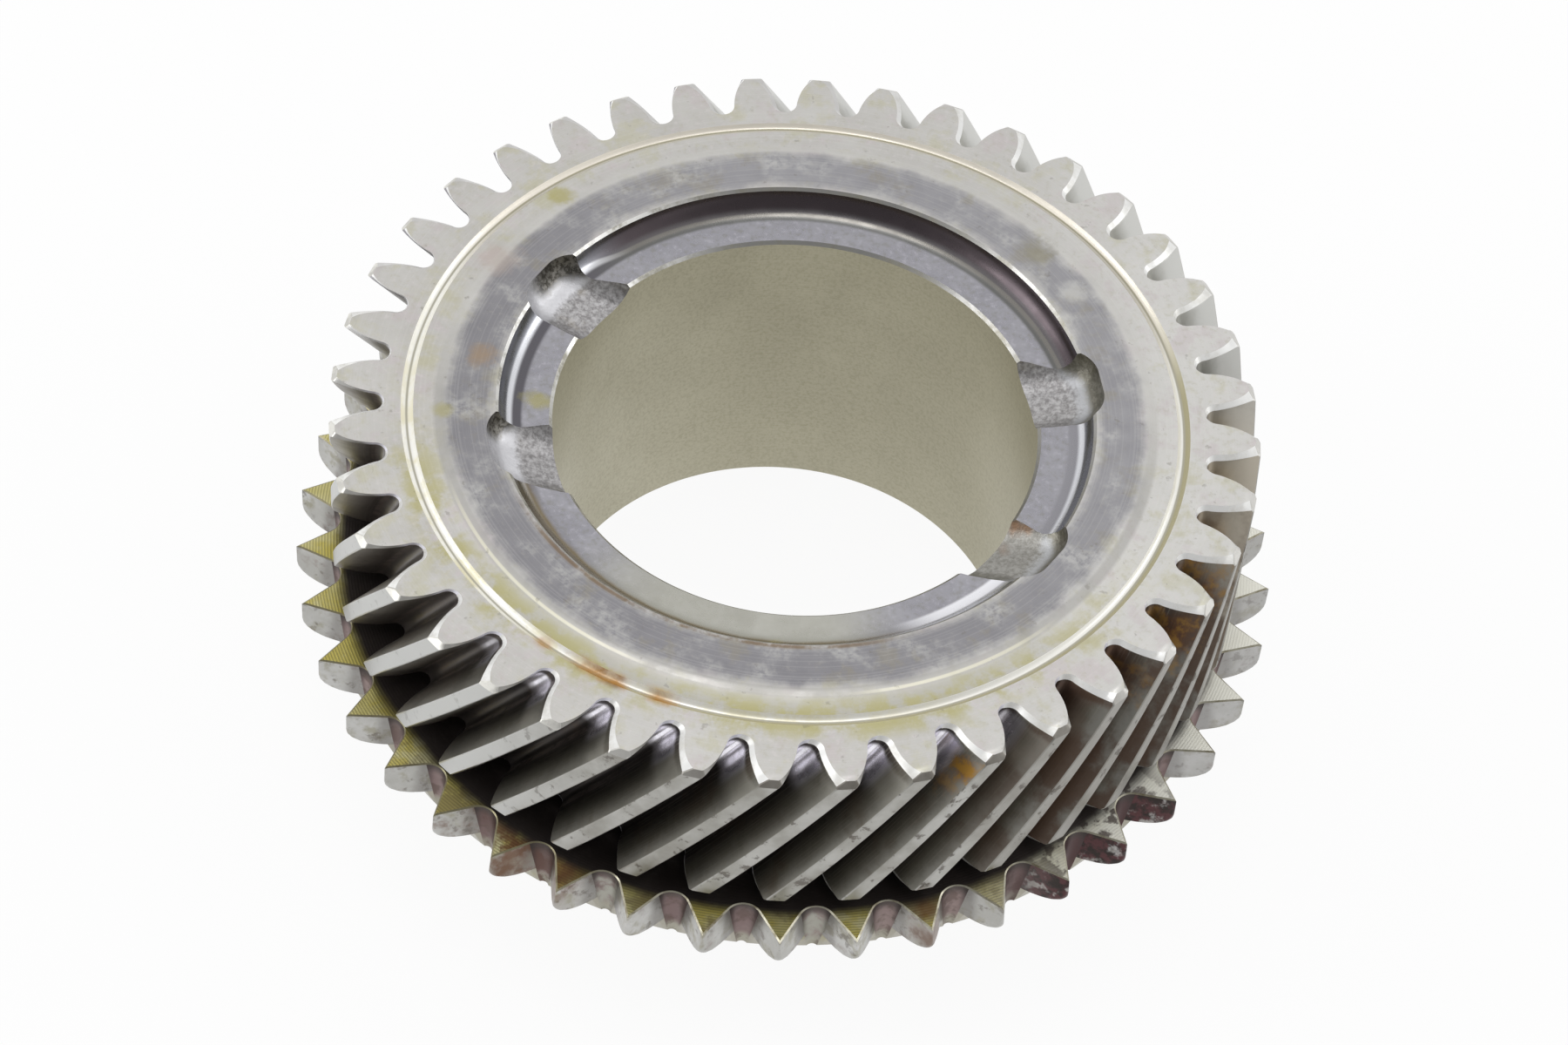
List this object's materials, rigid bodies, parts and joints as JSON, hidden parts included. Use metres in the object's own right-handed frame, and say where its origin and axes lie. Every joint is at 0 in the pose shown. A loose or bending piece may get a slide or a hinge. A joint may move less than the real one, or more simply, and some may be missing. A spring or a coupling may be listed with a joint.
{
  "type": "helical gear",
  "caption": "Right-hand helical gear on a plain bearing bore, with a counterbored thrust face, oil notches, and a dog-toothed ring with a friction cone pressed on its hub.",
  "frame": {"origin": "centre of the bore at the hub's end face, which is the part's lowest plane", "axes": "+Z along the bore axis from the hub end to the thrust face; a helical tooth space is centred on +X at the toothed end face"},
  "size_m": [0.1072, 0.1072, 0.0416],
  "materials": {
    "gear_steel": "ground and turned, oil-stained",
    "ring_steel": "turned, yellowed with old oil"
  },
  "bodies": {
    "root": {"helical_gear": "gear_steel", "dog_ring": "ring_steel"}
  },
  "joints": []
}
